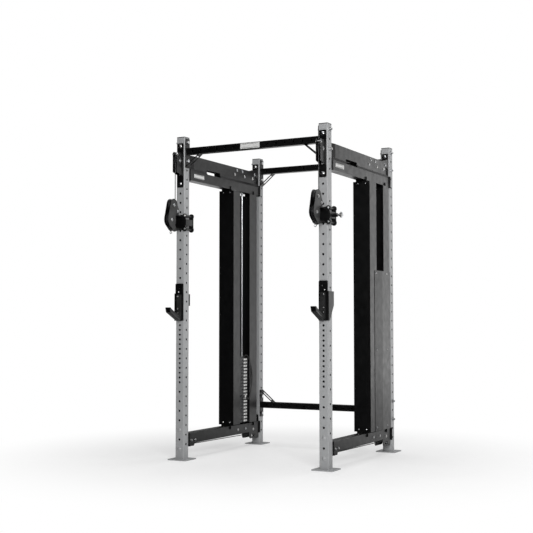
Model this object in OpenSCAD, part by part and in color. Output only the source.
// Functional trainer: a four-post steel rack with two weight stacks, two cable
// circuits, two sliding trolleys with swivel pulley housings and two bar hooks.
// Origin: middle of the rack on the floor. +Y points to the back, +Z up, millimetres.

/* [Rack] */
// Distance between upright centres, side to side
post_pitch_x = 1170; // [1120:10:1300]
// Distance between upright centres, front to back
post_pitch_y = 1170; // [1170:10:1300]
// Outer width of the square upright tube
post_w = 70; // [70:1:72]
// Wall thickness of the upright tube
post_wall = 3; // [2:0.5:4]
// Height of the upright tubes above the floor
post_top = 2390; // [2390:5:2460]
// Diameter of the holes in the uprights
hole_d = 16; // [16:0.5:17]
// Outer width of the square crossbar tube
bar_w = 50; // [40:1:50]

/* [Trolleys] */
// Height of the trolley's pull pin
trolley_z = 1750.8; // [1450.8:100:1850.8]
// Height of the side pin that locates each bar hook
hook_z = 1150.8; // [950.8:100:1150.8]

/* [Weight stacks] */
// Plates in each stack
plate_count = 20; // [14:1:20]
// Plates above the selector pin, including the pinned one
lifted_count = 12; // [1:1:13]
// Thickness of one weight plate
plate_t = 25.85; // [20:0.05:25.85]
// Length of a plate, front to back
plate_len = 240; // [220:2:250]
// Width of a plate, side to side
plate_w = 100; // [80:2:104]
// Diameter of the guide rods
rod_d = 19; // [16:0.5:20]

/* [Cables] */
// Diameter of the cable
cable_d = 6; // [4:0.5:6]

/* [Hidden] */
$fn = 48;

LEFT = -1;
RIGHT = 1;
SIDES = [LEFT, RIGHT];

// finishes
POST_GREY = "#a9abad";
SATIN_BLACK = "#1b1b1d";
ZINC = "#c3c5c8";
RUBBER = "#141414";
NYLON = "#202022";
IRON = "#2b2c2e";

// uprights
side_x = post_pitch_x / 2;
post_y = post_pitch_y / 2;
half_post = post_w / 2;
hole_r = hole_d / 2;
hole_pitch = 70;
base_t = 8;
base_size = [158, 148];
anchor_x = 57;
anchor_r = 7;
face_z0 = 80;
flank_z0 = face_z0 + hole_pitch / 2;
hole_rows = 33;
pin_z0 = 50.8;
pin_pitch = 100;
front_y = -post_y - half_post;
front_back_y = -post_y + half_post;
rear_front_y = post_y - half_post;
rear_y = post_y + half_post;

// crossbars
flange_t = 6;
bar_z = face_z0 + 31.5 * hole_pitch;
low_bar_z = 325;
bar_wall = 3;

// beams along each side
end_t = 6;
end_w = 92;
beam_end_y = rear_front_y - end_t;
sheet = 4;
top_beam_z = 2078;
crease_z = 2160;
top_beam_top = 2268;
low_beam_z = 112;
low_beam_top = 192;
beam_half_w = 35;
upper_half_w = 27;
end_bolts_top = [2110, 2320];
end_bolts_low = [80, 220];

// cable run, as [y, z] of pulley centres; cable_r is where the cable lies on a pulley
cable_r = 40;
run_z = 2210;
over_z = run_z + cable_r;
stack_y = 232;
float_z = 812;
top_front_c = [-652, run_z];
beam_front_c = [stack_y - 2 * cable_r, run_z];
beam_mid_c = [stack_y + 2 * cable_r, run_z];
beam_rear_c = [447, run_z];
float_c = [stack_y, float_z];
low_rear_c = [447, 134];
low_front_c = [-505, 134];
low_front_r = 31;
cord_r = cable_d / 2;
axle_r = 6;
retainer_r = 5;
pulley_half_w = 9;
rim_h = 5;
cord_gap = 0.3;
splice = 0.05;
fit_gap = 0.05;
pulley_slot_w = 24;
pulley_slot_z = [run_z - 42, run_z + 42];
retainer_off = 36;

// towers round the weight stacks
tower_half_w = 67;
tower_z = [200, 2067];
skin = 2.5;
front_web_y = 62;
rear_web_y = 444;
ear_half_w = 45;
ear_h = 35;
tab_screw_x = 30;
tab_screws_z = [218, 2052];
cover_y = [146, 287, 463];
cover_z = [200, 1402];
cover_rise = 6;
cover_t = 2;
cover_gap = 0.2;
cover_screws_y = [178, 388];
cover_screws_z = [226, 804, 1383];

// weight stack
plate_pitch = plate_t + 0.05;
stack_z = 206;
rod_off = 84;
rod_r = rod_d / 2;
stem_r = 12.5;
slot_h = 11;
pin_r = 4.8;
carriage_z = stack_z + plate_count * plate_pitch;

// trolley and swivel housing; z is measured from the pull pin
swivel_y = -692;
trolley_half_h = 56;
trolley_half_w = 53;
glide_off = [44, 49];
front_ear_r = 17;
back_ear_r = 20;
waist_half_h = 23;
back_half_w = 60;
lug_z = [44, 52];
barrel_end = 92;
knob_x = 105;
trunnion_r = 6.5;
upper_c = [swivel_y - cable_r, 120];
lower_c = [-758, 10];
ball_run = 60;
cord_exit = 25;
cheek_in = 14;
cheek_out = 18;

// ---- helpers -------------------------------------------------------------

// Local frame of one side of the rack: x = 0 on the upright line, +x outwards
module on_side(s) {
    if (s > 0) translate([side_x, 0, 0]) children();
    else mirror([1, 0, 0]) translate([side_x, 0, 0]) children();
}

module rounded(w, d, r) {
    square([w, d - 2 * r], center = true);
    square([w - 2 * r, d], center = true);
    for (x = [-1, 1], y = [-1, 1]) translate([x * (w / 2 - r), y * (d / 2 - r)]) circle(r);
}

module tube_section(w, wall, r) {
    difference() {
        rounded(w, w, r);
        rounded(w - 2 * wall, w - 2 * wall, r - wall);
    }
}

// Cylinders along x and y, from one coordinate to another
module rod_x(x0, x1, y, z, r) translate([x0, y, z]) rotate([0, 90, 0]) cylinder(r = r, h = x1 - x0);
module rod_y(x, y0, y1, z, r) translate([x, y0, z]) rotate([-90, 0, 0]) cylinder(r = r, h = y1 - y0);

// Plates drawn in the yz plane and in the xz plane
module plate_yz(x0, x1) {
    translate([x0, 0, 0]) rotate([90, 0, 90]) linear_extrude(x1 - x0) children();
}
module plate_xz(y0, y1) {
    translate([0, y1, 0]) rotate([90, 0, 0]) linear_extrude(y1 - y0) children();
}
module box(x, y, z) translate([x[0], y[0], z[0]]) cube([x[1] - x[0], y[1] - y[0], z[1] - z[0]]);

// Two mirrored copies about the side's centre plane
module both_cheeks() {
    children();
    mirror([1, 0, 0]) children();
}

// Bolt along y through [y0, y1]: domed or flush head at y0, hex nut at y1
module bolt_y(x, z, y0, y1, r = 7.7, nut = 12, head = 8) {
    rod_y(x, y0 - 0.1, y1 + nut + 2, z, r);
    if (head > 0) translate([x, y0, z]) rotate([90, 0, 0]) dome(2 * r, head);
    if (nut > 0) translate([x, y1, z]) rotate([-90, 0, 0]) cylinder(r = 13, h = nut, $fn = 6);
}
// Bolt along x through [x0, x1]: hex head at x0, nut and bolt end at x1
module bolt_x(y, z, x0, x1, r = 7.7, head = 9, tail = 8) {
    rod_x(x0 - 0.1, x1 + 12 + tail, y, z, r);
    translate([x0 - head, y, z]) rotate([0, 90, 0]) cylinder(r = 13, h = head, $fn = 6);
    translate([x1, y, z]) rotate([0, 90, 0]) cylinder(r = 13, h = 12, $fn = 6);
}
// Low domed head with its flat side at z = 0
module dome(r, h) {
    cap = (r * r + h * h) / (2 * h);
    rotate_extrude() intersection() {
        translate([0, h - cap]) circle(cap);
        square([r, h]);
    }
}

// ---- uprights ------------------------------------------------------------

module post_tube() {
    translate([0, 0, base_t]) linear_extrude(post_top - base_t)
        tube_section(post_w, post_wall, 6);
}
module face_holes() {
    for (n = [0 : hole_rows - 1])
        rod_y(0, -half_post - 1, half_post + 1, face_z0 + n * hole_pitch, hole_r);
    for (n = [7 : 12])
        rod_y(0, -half_post - 1, half_post + 1, flank_z0 + n * hole_pitch, hole_r);
}
module flank_holes(x0, x1, first = 0) {
    for (n = [first : hole_rows - 1]) rod_x(x0, x1, 0, flank_z0 + n * hole_pitch, hole_r);
}
// Pin holes in the outer wall of a front upright
module pin_holes() {
    for (n = [2 : 18]) rod_x(half_post - 10, half_post + 1, 0, pin_z0 + n * pin_pitch, hole_r);
    flank_holes(half_post - 10, half_post + 1, 28);
}
// Opening for the back of the top pulley
module pulley_slot(y0, y1) {
    box([-pulley_slot_w / 2, pulley_slot_w / 2], [y0, y1], pulley_slot_z);
}
module front_upright() {
    color(POST_GREY) translate([0, -post_y, 0]) difference() {
        post_tube();
        face_holes();
        flank_holes(-half_post - 1, -half_post + 10);
        pin_holes();
        pulley_slot(-half_post - 1, -half_post + post_wall + 1);
    }
}
module rear_upright() {
    color(POST_GREY) translate([0, post_y, 0]) difference() {
        post_tube();
        face_holes();
        flank_holes(-half_post - 1, half_post + 1);
    }
}
module base_plates() {
    color(POST_GREY)
        for (s = SIDES, y = [-post_y, post_y]) on_side(s) translate([0, y, 0])
            linear_extrude(base_t) difference() {
                rounded(base_size[0], base_size[1], 5);
                for (x = [-1, 1]) translate([x * anchor_x, 0]) circle(anchor_r);
            }
}
module upright_caps() {
    plug = post_w - 2 * post_wall - 1;
    color(RUBBER)
        for (s = SIDES, y = [-post_y, post_y]) on_side(s) translate([0, y, post_top]) {
            linear_extrude(5) rounded(post_w, post_w, 6);
            translate([0, 0, -18]) linear_extrude(18) rounded(plug, plug, 3);
        }
}

// ---- crossbars -----------------------------------------------------------

// Flange and slotted brace at the right-hand end; up = -1 puts the brace below
module bar_end(y, z, up, reach) {
    inner = side_x - half_post;
    edge = z + up * bar_w / 2;
    foot = z + up * (bar_w / 2 + reach);
    difference() {
        translate([inner - flange_t, y, 0]) rotate([0, 90, 0]) rotate([0, 0, 90])
            linear_extrude(flange_t) translate([0, z + up * (reach - 70) / 2])
                rounded(54, bar_w + reach + 75, 5);
        for (side = [-1, 1])
            rod_x(inner - 20, inner + 1, y, z + side * hole_pitch, hole_r);
    }
    difference() {
        plate_xz(y - bar_w / 2, y + bar_w / 2)
            polygon([[inner - flange_t, foot], [inner - flange_t, foot - up * 9],
                     [inner - 112, edge], [inner - 121, edge]]);
        box([inner - 100, inner - 22], [y - 17, y + 17], [min(foot, edge) - 1, max(foot, edge) + 1]);
    }
}
module crossbar(y, z, up, reach) {
    length = 2 * (side_x - half_post - flange_t);
    color(SATIN_BLACK) {
        difference() {
            translate([-length / 2, y, z]) rotate([0, 90, 0]) linear_extrude(length)
                tube_section(bar_w, bar_wall, 4.5);
            for (s = SIDES, k = [2 : 7])
                rod_y(s * k * hole_pitch, y - bar_w, y + bar_w, z, hole_r);
        }
        bar_end(y, z, up, reach);
        mirror([1, 0, 0]) bar_end(y, z, up, reach);
    }
}

// ---- side beams ----------------------------------------------------------

// Folded channel, open on top, seen along y
module top_beam_section() {
    fold = 8;
    low = crease_z - 12;
    outer = [[beam_half_w, top_beam_z], [beam_half_w, low], [upper_half_w, low + fold + 12],
             [upper_half_w, top_beam_top]];
    inner = [[upper_half_w - sheet, top_beam_top], [upper_half_w - sheet, low + fold + 11],
             [beam_half_w - sheet, low - 1], [beam_half_w - sheet, top_beam_z + sheet]];
    both_cheeks() polygon(concat([[0, top_beam_z]], outer, inner, [[0, top_beam_z + sheet]]));
}
// Upper panels are pinched in towards the end plates
module pinch() {
    straight = beam_end_y - 70;
    narrow = 16;
    shelf_z = crease_z + 4;
    for (e = [-1, 1]) both_cheeks() {
        translate([0, 0, shelf_z]) linear_extrude(top_beam_top - shelf_z)
            polygon([[upper_half_w - sheet, e * straight], [upper_half_w, e * straight],
                     [narrow, e * beam_end_y], [narrow - sheet, e * beam_end_y]]);
        translate([0, 0, shelf_z]) linear_extrude(sheet)
            polygon([[upper_half_w - 1, e * straight], [upper_half_w, e * beam_end_y],
                     [narrow - sheet, e * beam_end_y]]);
    }
}
module top_beam() {
    straight = beam_end_y - 70;
    color(SATIN_BLACK) difference() {
        union() {
            difference() {
                plate_xz(-beam_end_y, beam_end_y) top_beam_section();
                for (e = [-1, 1])
                    box([-60, 60], e > 0 ? [straight, 600] : [-600, -straight],
                        [crease_z + 8, top_beam_top + 1]);
            }
            pinch();
            for (e = [-1, 1]) {
                plate_xz(e > 0 ? beam_end_y : -beam_end_y - end_t,
                         e > 0 ? beam_end_y + end_t : -beam_end_y) {
                    translate([0, (top_beam_z + crease_z) / 2 - 3]) rounded(end_w, 90, 3);
                    translate([0, (crease_z - 20 + 2345) / 2]) rounded(50, 2345 - crease_z + 20, 5);
                }
            }
            // stiffening fins over the rear end
            both_cheeks() plate_yz(upper_half_w - sheet, upper_half_w - 1)
                polygon([[400, top_beam_top - 3], [beam_end_y, top_beam_top - 50],
                         [beam_end_y, top_beam_top + 32]]);
            // tabs that the tower shrouds screw to
            for (y = [front_web_y + skin, rear_web_y - skin - sheet])
                box([-40, 40], [y, y + sheet], [top_beam_z - 48, top_beam_z + 1]);
        }
        for (c = [beam_front_c, beam_mid_c, beam_rear_c]) rod_x(-60, 60, c[0], c[1], axle_r + 0.2);
        for (p = beam_retainers()) rod_x(-60, 60, p[0], p[1], retainer_r + 0.2);
        for (z = end_bolts_top) rod_y(0, -600, 600, z, hole_r);
        rod_y(0, -600, -beam_end_y + 30, over_z, hole_r);
        // cable openings in the bottom web, and the slot through both panels
        box([-12, 12], [stack_y - 60, stack_y + 60], [top_beam_z - 1, top_beam_z + sheet + 1]);
        box([-12, 12], [475, 500], [top_beam_z - 1, top_beam_z + sheet + 1]);
        plate_yz(-60, 60) translate([-187, 2169]) rounded(202, 35, 6);
        for (x = [-1, 1]) rod_y(x * tab_screw_x, 0, 500, tab_screws_z[1], 3.2);
    }
}
function beam_retainers() = [
    beam_front_c + [retainer_off, retainer_off],
    beam_mid_c + [-retainer_off, retainer_off],
    beam_rear_c + [retainer_off, retainer_off]
];

// window_x says which cheek has the window over the rear end bolt
module low_beam(window_x) {
    mid_z = (low_beam_z + low_beam_top) / 2;
    depth = low_beam_top - low_beam_z;
    color(SATIN_BLACK) difference() {
        union() {
            plate_xz(-beam_end_y, beam_end_y) translate([0, mid_z]) difference() {
                rounded(2 * beam_half_w, depth, 6);
                rounded(2 * (beam_half_w - sheet), depth - 2 * sheet, 2);
            }
            for (y = [-beam_end_y - end_t, beam_end_y]) plate_xz(y, y + end_t) {
                translate([0, 150]) rounded(56, 190, 5);
                translate([0, 145]) rounded(end_w, 96, 4);
            }
            // lobes below the beam that close in the bottom pulleys
            both_cheeks() plate_yz(beam_half_w - sheet, beam_half_w) {
                polygon([[-beam_end_y, low_beam_z + 20], [-beam_end_y, 93], [-472, 93],
                         [-455, low_beam_z + 20]]);
                polygon([[368, low_beam_z + 20], [384, 72], [396, 62], [524, 62],
                         [534, 72], [534, low_beam_z + 20]]);
            }
            for (y = [front_web_y + skin, rear_web_y - skin - sheet])
                box([-40, 40], [y, y + sheet], [low_beam_top - 1, low_beam_top + 48]);
        }
        for (p = low_axles()) rod_x(-60, 60, p[0], p[1], axle_r + 0.2);
        for (p = low_side_bolts()) rod_x(-60, 60, p[0], p[1], retainer_r + 0.2);
        for (z = end_bolts_low) rod_y(0, -600, 600, z, hole_r);
        plate_yz(window_x[0], window_x[1]) translate([448, 84]) rounded(56, 20, 8);
        box([-12, 12], [-beam_end_y, -460], [low_beam_z - 1, low_beam_z + sheet + 1]);
        box([-8, 8], [-beam_end_y, -522], [low_beam_top - sheet - 1, low_beam_top + 1]);
        box([-12, 12], [394, 500], [low_beam_z - 1, low_beam_z + sheet + 1]);
        box([-8, 8], [474, 500], [low_beam_top - sheet - 1, low_beam_top + 1]);
        for (x = [-1, 1]) rod_y(x * tab_screw_x, 0, 500, tab_screws_z[0], 3.2);
    }
}
function low_axles() = [low_front_c, low_rear_c];
function low_side_bolts() = [
    low_front_c + [53, 0], [195, 150], [320, 150]
];

// Backing plate on the front of the upright with the cheeks of the top pulley
module top_pulley_bracket() {
    difference() {
        union() {
            plate_xz(front_y - 6, front_y) translate([0, 2180]) rounded(54, 330, 8);
            both_cheeks() plate_yz(cheek_in, cheek_out)
                polygon([[front_y - 3, 2100], [-700, 2122], [-700, 2262], [-690, 2273],
                         [-640, 2273], [front_y - 3, 2245]]);
        }
        for (z = concat([2040], end_bolts_top, [over_z])) rod_y(0, -700, 0, z, hole_r);
        pulley_slot(front_y - 7, front_y + 1);
        rod_x(-40, 40, top_front_c[0], top_front_c[1], axle_r + 0.2);
        rod_x(-40, 40, -692, 2254, retainer_r + 0.2);
    }
}
module top_pulley_brackets() {
    color(SATIN_BLACK) for (s = SIDES) on_side(s) top_pulley_bracket();
}

// ---- fasteners of the frame ----------------------------------------------

module side_bolts() {
    inner = -half_post - flange_t;
    for (z = [bar_z - hole_pitch, bar_z + hole_pitch]) {
        bolt_x(-post_y, z, inner, half_post);
        bolt_x(post_y, z, inner, half_post);
    }
    for (z = [low_bar_z - hole_pitch, low_bar_z + hole_pitch])
        bolt_x(post_y, z, inner, half_post);
    // front upright: backing plate, pulley bracket and beam ends
    bolt_y(0, 2040, front_y - 6, front_back_y);
    bolt_y(0, end_bolts_top[0], front_y - 6, -beam_end_y, head = 0);
    bolt_y(0, end_bolts_top[1], front_y - 6, -beam_end_y);
    for (z = end_bolts_low) bolt_y(0, z, front_y, -beam_end_y - 2.1, nut = 0);
    // rear upright
    for (z = concat(end_bolts_low, end_bolts_top))
        bolt_y(0, z, beam_end_y, rear_y, r = 7);
}
module tower_screws() {
    for (x = [-1, 1], z = tab_screws_z) {
        rod_y(x * tab_screw_x, front_web_y - 0.1, front_web_y + 10, z, 3);
        translate([x * tab_screw_x, front_web_y, z]) rotate([90, 0, 0]) dome(6.5, 3);
        rod_y(x * tab_screw_x, rear_web_y - 10, rear_web_y + 0.1, z, 3);
        translate([x * tab_screw_x, rear_web_y, z]) rotate([-90, 0, 0]) dome(6.5, 3);
    }
    for (y = cover_screws_y, z = cover_screws_z) {
        seat = cover_out(y) + 0.3;
        rod_x(tower_half_w - skin - 4, seat + 0.1, y, z, 2.5);
        translate([seat, y, z]) rotate([0, 90, 0]) dome(5.5, 3);
    }
}
module frame_bolts() {
    color(ZINC) for (s = SIDES) on_side(s) {
        side_bolts();
        tower_screws();
    }
}

// Pulley axle across two cheeks whose outer faces are at +/-reach
module axle(c, reach, r = axle_r) {
    seat = reach + 0.05;
    rod_x(-seat - 5, seat + 5, c[0], c[1], r);
    for (k = [-1, 1]) translate([k * seat, c[0], c[1]]) rotate([0, k * 90, 0]) dome(r + 6, 6);
}
// Loose spacer tubes that centre a pulley between two cheeks
module spacers(c, inside, r = axle_r) {
    both_cheeks() difference() {
        rod_x(pulley_half_w + 0.3, inside - 0.1, c[0], c[1], r + 4);
        rod_x(0, inside + 1, c[0], c[1], r + 0.15);
    }
}
module pulley_axles() {
    color(ZINC) for (s = SIDES) on_side(s) {
        axle(top_front_c, cheek_out);
        spacers(top_front_c, cheek_in);
        axle([-692, 2254], cheek_out, retainer_r);
        for (c = [beam_front_c, beam_mid_c, beam_rear_c]) {
            axle(c, upper_half_w);
            spacers(c, upper_half_w - sheet);
        }
        for (p = beam_retainers()) axle(p, upper_half_w, retainer_r);
        for (c = low_axles()) {
            axle(c, beam_half_w);
            spacers(c, beam_half_w - sheet);
        }
        for (p = low_side_bolts()) axle(p, beam_half_w, retainer_r);
    }
}

// ---- pulleys and cables --------------------------------------------------

// Grooved pulley on the x axis; r is the radius of the cable's centre line
module pulley(c, r) {
    rim = r + rim_h;
    groove = cord_r + cord_gap;
    color(NYLON) translate([0, c[0], c[1]]) rotate([0, 90, 0]) rotate_extrude() difference() {
        polygon([[axle_r + 0.2, -pulley_half_w], [15, -pulley_half_w], [17, -5],
                 [r - 9, -5], [r - 7, -pulley_half_w], [rim, -pulley_half_w],
                 [rim, pulley_half_w], [r - 7, pulley_half_w], [r - 9, 5], [17, 5],
                 [15, pulley_half_w], [axle_r + 0.2, pulley_half_w]]);
        translate([r, 0]) circle(groove);
        polygon([[r, -groove], [rim + 1, -groove - 2.5], [rim + 1, groove + 2.5], [r, groove]]);
    }
}
// Straight piece of cable between two [y, z] points, a hair short of the bends it meets
module cord(a, b) {
    d = b - a;
    translate([0, a[0], a[1]]) rotate([atan2(d[1], d[0]), 0, 0]) translate([0, splice, 0])
        rotate([-90, 0, 0]) cylinder(r = cord_r, h = norm(d) - 2 * splice);
}
// Piece of cable round a pulley, from angle a0 over sweep degrees (0 = +y, 90 = +z)
module wrap(c, r, a0, sweep) {
    translate([0, c[0], c[1]]) rotate([90, 0, 90]) rotate([0, 0, a0])
        rotate_extrude(angle = sweep) translate([r, 0]) circle(cord_r);
}
function on_pulley(c, r, a) = c + r * [cos(a), sin(a)];

module cable() {
    low_tilt = asin((cable_r - low_front_r) / (low_rear_c[0] - low_front_c[0]));
    under = 270 - low_tilt;
    cord([swivel_y, trolley_z + upper_c[1]], [swivel_y, run_z]);
    wrap(top_front_c, cable_r, 90, 90);
    cord([top_front_c[0], over_z], [beam_front_c[0], over_z]);
    wrap(beam_front_c, cable_r, 0, 90);
    cord([beam_front_c[0] + cable_r, float_z], [beam_front_c[0] + cable_r, run_z]);
    wrap(float_c, cable_r, 180, 180);
    cord([beam_mid_c[0] - cable_r, float_z], [beam_mid_c[0] - cable_r, run_z]);
    wrap(beam_mid_c, cable_r, 90, 90);
    cord([beam_mid_c[0], over_z], [beam_rear_c[0], over_z]);
    wrap(beam_rear_c, cable_r, 0, 90);
    cord([beam_rear_c[0] + cable_r, low_rear_c[1]], [beam_rear_c[0] + cable_r, run_z]);
    wrap(low_rear_c, cable_r, under, 360 - under);
    cord(on_pulley(low_front_c, low_front_r, under), on_pulley(low_rear_c, cable_r, under));
    wrap(low_front_c, low_front_r, 180, under - 180);
    cord([low_front_c[0] - low_front_r, low_front_c[1]],
         [low_front_c[0] - low_front_r, trolley_z - trolley_half_h - 10]);
}
module cables() {
    color(RUBBER) for (s = SIDES) on_side(s) cable();
}

// ---- towers --------------------------------------------------------------

// Web with saddle ears that straddle the beams above and below
module tower_web() {
    mid = (tower_z[0] + tower_z[1]) / 2;
    gap = beam_half_w + 0.2;
    difference() {
        union() {
            translate([0, mid]) square([2 * tower_half_w, tower_z[1] - tower_z[0]], center = true);
            translate([0, mid])
                square([2 * ear_half_w, tower_z[1] - tower_z[0] + 2 * ear_h], center = true);
        }
        translate([-gap, top_beam_z]) square([2 * gap, 100]);
        translate([-gap, low_beam_top - 100]) square([2 * gap, 100]);
        for (x = [-1, 1], z = tab_screws_z) translate([x * tab_screw_x, z]) circle(3.2);
    }
}
module tower_flange(x, y0, y1) {
    box([x, x + skin], [y0, y1], tower_z);
}
module shrouds() {
    plate_xz(front_web_y, front_web_y + skin) tower_web();
    tower_flange(-tower_half_w, front_web_y, 166);
    difference() {
        tower_flange(tower_half_w - skin, front_web_y, 190);
        for (z = cover_screws_z) rod_x(0, 100, cover_screws_y[0], z, 2.7);
    }
    plate_xz(rear_web_y - skin, rear_web_y) tower_web();
    tower_flange(-tower_half_w, 326, rear_web_y);
    difference() {
        tower_flange(tower_half_w - skin, 334, rear_web_y);
        for (z = cover_screws_z) rod_x(0, 100, cover_screws_y[1], z, 2.7);
    }
}
module tower_shrouds() {
    color(SATIN_BLACK) for (s = SIDES) on_side(s) shrouds();
}

// Outward face of the cover at a given y
function cover_out(y) = tower_half_w + cover_gap + cover_t + cover_rise *
    (y < cover_y[1] ? (y - cover_y[0]) / (cover_y[1] - cover_y[0])
                    : (cover_y[2] - y) / (cover_y[2] - cover_y[1]));
module outer_covers() {
    color(SATIN_BLACK) for (s = SIDES) on_side(s) difference() {
        translate([0, 0, cover_z[0]]) linear_extrude(cover_z[1] - cover_z[0])
            polygon(concat([for (y = cover_y) [cover_out(y), y]],
                           [for (i = [2 : -1 : 0]) [cover_out(cover_y[i]) - cover_t, cover_y[i]]]));
        for (y = cover_screws_y, z = cover_screws_z) rod_x(50, 90, y, z, 2.7);
    }
}
module guide_rods() {
    color(ZINC) for (s = SIDES, k = [-1, 1]) on_side(s)
        translate([0, stack_y + k * rod_off, low_beam_top])
            cylinder(r = rod_r, h = top_beam_z - low_beam_top);
}
module stack_bumpers() {
    color(RUBBER) for (s = SIDES, k = [-1, 1]) on_side(s)
        translate([0, stack_y + k * rod_off, low_beam_top]) difference() {
            cylinder(r = 22, h = stack_z - low_beam_top);
            translate([0, 0, -1]) cylinder(r = rod_r + 0.5, h = 40);
        }
}

// ---- weight stack --------------------------------------------------------

module weight_plate(i) {
    chamfer = 2;
    w = plate_w / 2;
    translate([0, stack_y, stack_z + i * plate_pitch]) difference() {
        plate_xz(-plate_len / 2, plate_len / 2)
            polygon([[-w, chamfer], [-w + chamfer, 0], [w - chamfer, 0], [w, chamfer],
                     [w, plate_t - chamfer], [w - chamfer, plate_t], [-w + chamfer, plate_t],
                     [-w, plate_t - chamfer]]);
        for (k = [-1, 1]) translate([0, k * rod_off, -1]) cylinder(r = rod_r + 1, h = plate_t + 2);
        translate([0, 0, -1]) cylinder(r = stem_r + 1, h = plate_t + 2);
        box([-w - 1, 0], [-6, 6], [-1, slot_h]);
    }
}
module resting_plates() {
    color(IRON) for (s = SIDES, i = [0 : plate_count - lifted_count - 1])
        on_side(s) weight_plate(i);
}
module lifted_plates() {
    color(IRON) for (i = [plate_count - lifted_count : plate_count - 1]) weight_plate(i);
}
function slot_z(i) = stack_z + i * plate_pitch + slot_h / 2;

// Head block, selector stem and the fork of the floating pulley
module stack_carriage() {
    fork_w = 30;
    color(SATIN_BLACK) translate([0, stack_y, 0]) {
        difference() {
            union() {
                translate([0, 0, carriage_z]) linear_extrude(12) rounded(80, 110, 8);
                both_cheeks() plate_yz(cheek_in, cheek_out) {
                    translate([-fork_w, carriage_z + 6]) square([2 * fork_w, float_z - carriage_z]);
                    translate([0, float_z + 16]) circle(fork_w);
                }
                translate([0, 0, stack_z + 6]) cylinder(r = stem_r, h = carriage_z - stack_z);
            }
            rod_x(-40, 40, 0, float_z, axle_r + 0.2);
            rod_x(-40, 40, 0, carriage_z + 27, retainer_r + 0.2);
            for (i = [0 : plate_count - 1]) rod_x(-20, 20, 0, slot_z(i), pin_r + 0.5);
        }
    }
    color(ZINC) {
        axle(float_c, cheek_out);
        spacers(float_c, cheek_in);
        axle([stack_y, carriage_z + 27], cheek_out, retainer_r);
    }
}
module selector_pin() {
    z = slot_z(plate_count - lifted_count);
    color(ZINC) {
        rod_x(-60, stem_r - 0.5, stack_y, z, pin_r);
        translate([-82, stack_y, z]) rotate([0, 90, 0]) rotate_extrude()
            polygon([[0, 0], [9, 0], [12, 3], [12, 14], [8, 20], [8, 26], [0, 26]]);
    }
}

// ---- trolley, pull pin and swivel housing --------------------------------

module at_trolley() translate([0, 0, trolley_z]) children();

module corners() {
    for (x = [-1, 1], z = [-1, 1]) translate([x * glide_off[0], z * glide_off[1]]) children();
}
module trolley() {
    front = [-632, -626];
    back = [-540, -532];
    side = [trolley_half_w, trolley_half_w + 5];
    color(SATIN_BLACK) at_trolley() difference() {
        union() {
            plate_xz(front[0], front[1]) {
                square([2 * trolley_half_w, 2 * glide_off[1]], center = true);
                square([2 * glide_off[0], 2 * trolley_half_h], center = true);
                corners() circle(front_ear_r);
            }
            plate_xz(back[0], back[1]) {
                square([2 * back_half_w, 2 * glide_off[1]], center = true);
                square([72, 2 * (glide_off[1] + 12)], center = true);
                corners() circle(back_ear_r);
            }
            both_cheeks() plate_yz(side[0] - 1, side[1])
                polygon([[front[0], -waist_half_h], [front[0], waist_half_h],
                         [back[1], waist_half_h], [back[1], -waist_half_h]]);
            for (k = [-1, 1]) translate([0, 0, k > 0 ? lug_z[0] : -lug_z[1]]) lug();
            // barrel of the pull pin
            rod_x(41, barrel_end, -post_y, 0, 14);
        }
        for (x = [-1, 1], z = [-1, 1]) rod_y(x * glide_off[0], -700, -500, z * glide_off[1], 5.2);
        for (k = [-1, 1]) translate([0, swivel_y, k > 0 ? 30 : -60])
            cylinder(r = trunnion_r + 0.2, h = 30);
        rod_x(30, 110, -post_y, 0, 7.9);
    }
    color(ZINC) at_trolley()
        for (x = [-1, 1], z = [-1, 1]) {
            rod_y(x * glide_off[0], front[0] - 0.1, back[1] + 10, z * glide_off[1], 5);
            translate([x * glide_off[0], front[0] - fit_gap, z * glide_off[1]])
                rotate([90, 0, 0]) dome(9, 6);
            translate([x * glide_off[0], back[1] + fit_gap, z * glide_off[1]])
                rotate([-90, 0, 0]) cylinder(r = 9, h = 8, $fn = 6);
        }
}
// One ear of the trolley's front plate, bored for the housing's trunnion
module lug() {
    linear_extrude(lug_z[1] - lug_z[0]) {
        translate([0, swivel_y]) circle(11.5);
        polygon([[-11.5, swivel_y], [-22, -627], [22, -627], [11.5, swivel_y]]);
    }
}
module trolley_glides() {
    color(NYLON) at_trolley() for (x = [-1, 1], z = [-1, 1]) difference() {
        rod_y(x * glide_off[0], -625.8, -540.2, z * glide_off[1], 8);
        rod_y(x * glide_off[0], -630, -530, z * glide_off[1], 5.2);
    }
}
// Drawn back, its tip just clear of the upright
module pull_pin() {
    color(ZINC) at_trolley() {
        rod_x(half_post + 1, knob_x + 1, -post_y, 0, 7.6);
        translate([knob_x, -post_y, 0]) rotate([0, 90, 0]) rotate_extrude()
            polygon([[0, 0], [9, 0], [10, 6], [17, 9], [21, 13], [21, 18], [17, 22], [9, 24],
                     [0, 24]]);
    }
}

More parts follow.
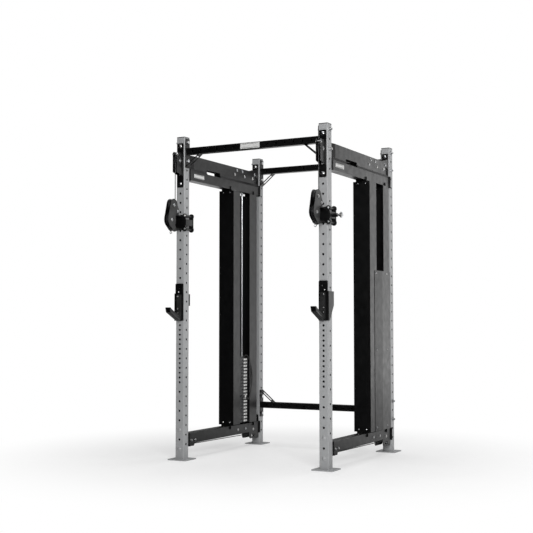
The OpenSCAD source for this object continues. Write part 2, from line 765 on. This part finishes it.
module cheek_outline() {
    difference() {
        union() {
            translate(upper_c) circle(47);
            translate(lower_c) circle(52);
            polygon([[-777, 133], [-808, 25], [-712, -20], [-687, 128]]);
            // back of the cheek with the ears above and below the lugs
            polygon([[-725, 125], [-690, 128], [-672, 100], [-666, 84], [-670, 53],
                     [-760, 53]]);
            polygon([[-790, -30], [-745, -66], [-684, -66], [-678, -60], [-678, -53],
                     [-704, -53], [-714, -30], [-740, -10]]);
        }
        translate([swivel_y - 16, -53]) square([62, 106]);
    }
}
module swivel_housing() {
    color(SATIN_BLACK) at_trolley() difference() {
        union() {
            both_cheeks() plate_yz(cheek_in, cheek_out) cheek_outline();
            // bridges that carry the trunnions
            for (z = [[53, 59], [-59, -53]]) box([-16, 16], [-722, -680], z);
        }
        box([-5, 5], [-716, swivel_y - trunnion_r - 1], [50, 62]);
        for (c = [upper_c, lower_c]) rod_x(-40, 40, c[0], c[1], axle_r + 0.2);
        rod_x(-40, 40, -680, 78, retainer_r + 0.2);
        for (z = [50, -62]) translate([0, swivel_y, z]) cylinder(r = trunnion_r + 0.05, h = 12);
    }
    color(ZINC) at_trolley() {
        for (c = [upper_c, lower_c]) {
            axle(c, cheek_out);
            spacers(c, cheek_in);
        }
        axle([-680, 78], cheek_out, retainer_r);
        translate([0, swivel_y, 41]) cylinder(r = trunnion_r, h = 22);
        translate([0, swivel_y, -72]) cylinder(r = trunnion_r, h = 31);
    }
}
// Cable inside the housing, the stop ball and the eye for a handle
module cable_end() {
    slope = atan2(upper_c[0] - lower_c[0], upper_c[1] - lower_c[1]);
    leave = on_pulley(lower_c, cable_r, -cord_exit);
    ball = leave + ball_run * [-sin(cord_exit), -cos(cord_exit)];
    color(RUBBER) at_trolley() {
        wrap(upper_c, cable_r, -slope, slope);
        cord(on_pulley(lower_c, cable_r, -slope), on_pulley(upper_c, cable_r, -slope));
        wrap(lower_c, cable_r, -cord_exit, cord_exit - slope);
        cord(ball, leave);
        translate([0, ball[0], ball[1]]) sphere(12);
    }
    color(ZINC) at_trolley() translate([0, ball[0], ball[1] - 21]) rotate([90, 0, 0])
        rotate_extrude() translate([8, 0]) circle(2.4);
}

// ---- bar hooks -----------------------------------------------------------

module at_hook() translate([0, 0, hook_z]) children();
liner_y = -640;
// Screws of the hook as [x, y of the head's seat, z]
function hook_screws(plate_face) = [
    [9, plate_face, 84], [9, liner_y, 51], [9, liner_y, -39], [9, liner_y, -70]
];

module bar_hook() {
    plate_y = [front_y - 8, front_y - 1];
    flank_x = [half_post + 1.5, half_post + 9];
    back_y = [front_back_y + 1.5, front_back_y + 8.5];
    color(SATIN_BLACK) at_hook() {
        difference() {
            plate_xz(plate_y[0], plate_y[1]) {
                translate([-33, -128]) square([flank_x[1] + 33, 202]);
                translate([1.5, 105]) rounded(68, 84, 8);
            }
            rod_y(-2, -640, -600, 117, 7);
            for (p = hook_screws(plate_y[0])) rod_y(p[0], -640, -600, p[2], 3.2);
        }
        plate_yz(flank_x[0], flank_x[1])
            polygon([[plate_y[0], -128], [-609, -128], [back_y[1], -22], [back_y[1], 74],
                     [plate_y[0], 74]]);
        translate([0, 0, -17]) linear_extrude(87)
            polygon([[-38, back_y[0]], [flank_x[1], back_y[0]], [flank_x[1], back_y[1]],
                     [-38, back_y[1]]]);
        rod_x(22, flank_x[0] + 1, -post_y, 0, 7.6);
        plate_yz(-20, 20)
            polygon([[plate_y[0] + 1, -126], [-650, -126], [-776, -67], [-786, -34],
                     [-778, -31], [-769, -59], [-648, -117], [plate_y[0] + 1, -117]]);
    }
    color(ZINC) at_hook() for (p = hook_screws(plate_y[0])) {
        rod_y(p[0], p[1] - fit_gap - 0.1, plate_y[1], p[2], 3);
        translate([p[0], p[1] - fit_gap, p[2]]) rotate([90, 0, 0]) dome(6, 3);
    }
}
module hook_liner() {
    color(RUBBER) at_hook() difference() {
        plate_yz(-18, 18)
            polygon([[-628.2, 66], [liner_y, 66], [liner_y, -78], [-652, -94], [-758, -43],
                     [-771, -33], [-776, -36.5], [-767, -58], [-648, -116], [-628.2, -116]]);
        for (p = hook_screws(0)) rod_y(p[0], -660, -600, p[2], 3.2);
    }
}

// ---- assembly ------------------------------------------------------------

on_side(LEFT) front_upright();  // front_left_upright
on_side(RIGHT) front_upright();  // front_right_upright
on_side(LEFT) rear_upright();  // rear_left_upright
on_side(RIGHT) rear_upright();  // rear_right_upright
base_plates();
upright_caps();
crossbar(-post_y, bar_z, -1, 95);  // front_top_crossbar
crossbar(post_y, bar_z, -1, 95);  // rear_top_crossbar
crossbar(post_y, low_bar_z, 1, 97);  // rear_low_crossbar
on_side(LEFT) top_beam();  // left_top_beam
on_side(RIGHT) top_beam();  // right_top_beam
on_side(LEFT) low_beam([-60, 0]);  // left_bottom_beam
on_side(RIGHT) low_beam([0, 60]);  // right_bottom_beam
top_pulley_brackets();
frame_bolts();
pulley_axles();
tower_shrouds();
outer_covers();
guide_rods();
stack_bumpers();
resting_plates();
cables();

module lower_pulley(c) at_trolley() pulley(c, cable_r);

on_side(LEFT) lifted_plates();  // left_lifted_plates
on_side(LEFT) stack_carriage();  // left_stack_carriage
on_side(LEFT) selector_pin();  // left_selector_pin
on_side(LEFT) pulley(top_front_c, cable_r);  // left_top_front_pulley
on_side(LEFT) pulley(beam_front_c, cable_r);  // left_beam_front_pulley
on_side(LEFT) pulley(beam_mid_c, cable_r);  // left_beam_mid_pulley
on_side(LEFT) pulley(beam_rear_c, cable_r);  // left_beam_rear_pulley
on_side(LEFT) pulley(float_c, cable_r);  // left_floating_pulley
on_side(LEFT) pulley(low_rear_c, cable_r);  // left_bottom_rear_pulley
on_side(LEFT) pulley(low_front_c, low_front_r);  // left_bottom_front_pulley
on_side(LEFT) lower_pulley(upper_c);  // left_housing_upper_pulley
on_side(LEFT) lower_pulley(lower_c);  // left_housing_lower_pulley
on_side(LEFT) trolley();  // left_trolley
on_side(LEFT) trolley_glides();  // left_trolley_glides
on_side(LEFT) pull_pin();  // left_pull_pin
on_side(LEFT) swivel_housing();  // left_swivel_housing
on_side(LEFT) cable_end();  // left_cable_end
on_side(LEFT) bar_hook();  // left_bar_hook
on_side(LEFT) hook_liner();  // left_hook_liner

on_side(RIGHT) lifted_plates();  // right_lifted_plates
on_side(RIGHT) stack_carriage();  // right_stack_carriage
on_side(RIGHT) selector_pin();  // right_selector_pin
on_side(RIGHT) pulley(top_front_c, cable_r);  // right_top_front_pulley
on_side(RIGHT) pulley(beam_front_c, cable_r);  // right_beam_front_pulley
on_side(RIGHT) pulley(beam_mid_c, cable_r);  // right_beam_mid_pulley
on_side(RIGHT) pulley(beam_rear_c, cable_r);  // right_beam_rear_pulley
on_side(RIGHT) pulley(float_c, cable_r);  // right_floating_pulley
on_side(RIGHT) pulley(low_rear_c, cable_r);  // right_bottom_rear_pulley
on_side(RIGHT) pulley(low_front_c, low_front_r);  // right_bottom_front_pulley
on_side(RIGHT) lower_pulley(upper_c);  // right_housing_upper_pulley
on_side(RIGHT) lower_pulley(lower_c);  // right_housing_lower_pulley
on_side(RIGHT) trolley();  // right_trolley
on_side(RIGHT) trolley_glides();  // right_trolley_glides
on_side(RIGHT) pull_pin();  // right_pull_pin
on_side(RIGHT) swivel_housing();  // right_swivel_housing
on_side(RIGHT) cable_end();  // right_cable_end
on_side(RIGHT) bar_hook();  // right_bar_hook
on_side(RIGHT) hook_liner();  // right_hook_liner
